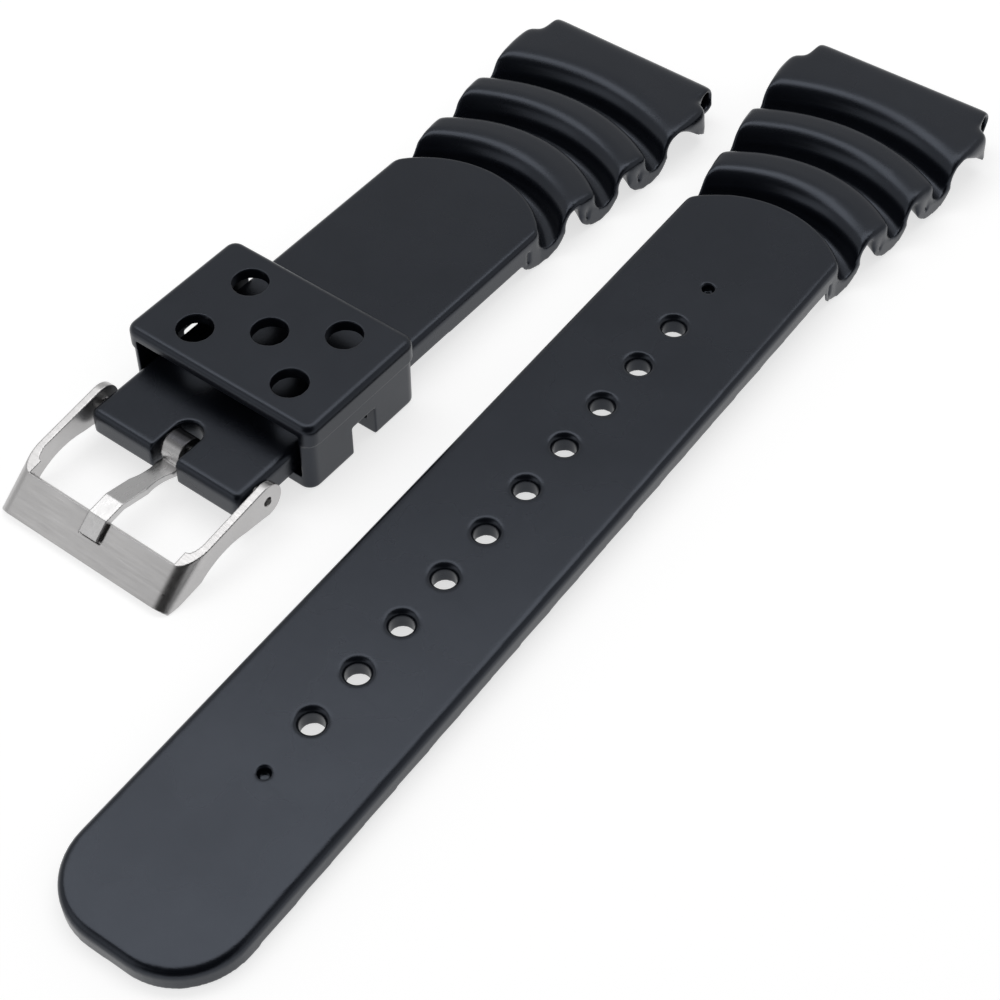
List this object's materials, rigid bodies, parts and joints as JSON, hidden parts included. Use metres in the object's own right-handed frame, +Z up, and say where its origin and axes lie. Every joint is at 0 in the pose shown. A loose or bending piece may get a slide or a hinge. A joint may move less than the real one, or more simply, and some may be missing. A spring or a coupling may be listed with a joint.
{
  "type": "watch strap",
  "caption": "Black rubber dive watch strap in halves with wave-shaped lug ends, a pierced rubber keeper and a steel pin buckle.",
  "frame": {"origin": "centre of the buckle half's lug bore, on its axis", "axes": "+X along the strap towards the watch lugs, +Y across it along the lug bore, +Z up out of the strap's face"},
  "size_m": [0.1344, 0.0534, 0.0087],
  "materials": {
    "rubber": "satin",
    "keeper_rubber": "satin",
    "buckle_steel": "brushed",
    "bar_steel": "satin",
    "spring_steel": "satin"
  },
  "bodies": {
    "short_half": {"short_strap": "rubber", "bar_tube": "bar_steel", "bar_spring": "spring_steel"},
    "long_half": {"long_strap": "rubber"},
    "keeper": {"keeper": "keeper_rubber"},
    "buckle_frame": {"buckle_frame": "buckle_steel"},
    "buckle_tongue": {"buckle_tongue": "buckle_steel"},
    "bar_tip_left": {"bar_tip_left": "bar_steel"},
    "bar_tip_right": {"bar_tip_right": "bar_steel"}
  },
  "joints": [
    {"name": "long_half_slide", "type": "slide", "parent": "short_half", "child": "long_half", "axis": [0, -1, 0], "range_m": [0, 0.06]},
    {"name": "keeper_slide", "type": "slide", "parent": "short_half", "child": "keeper", "axis": [1, 0, 0], "range_m": [0, 0.016]},
    {"name": "buckle_hinge", "type": "hinge", "parent": "short_half", "child": "buckle_frame", "pos_m": [-0.0749, 0, 0.00015], "axis": [0, 1, 0], "range_deg": [-90, 60]},
    {"name": "tongue_hinge", "type": "hinge", "parent": "buckle_frame", "child": "buckle_tongue", "pos_m": [-0.0749, 0, 0.00015], "axis": [0, 1, 0], "range_deg": [0, 90]},
    {"name": "bar_tip_left_slide", "type": "slide", "parent": "short_half", "child": "bar_tip_left", "axis": [0, -1, 0], "range_m": [0, 0.00065], "stiffness_N_per_m": 200, "springref_m": -0.0005, "deforming": ["bar_spring"]},
    {"name": "bar_tip_right_slide", "type": "slide", "parent": "short_half", "child": "bar_tip_right", "axis": [0, 1, 0], "range_m": [0, 0.00065], "stiffness_N_per_m": 200, "springref_m": -0.0005}
  ]
}
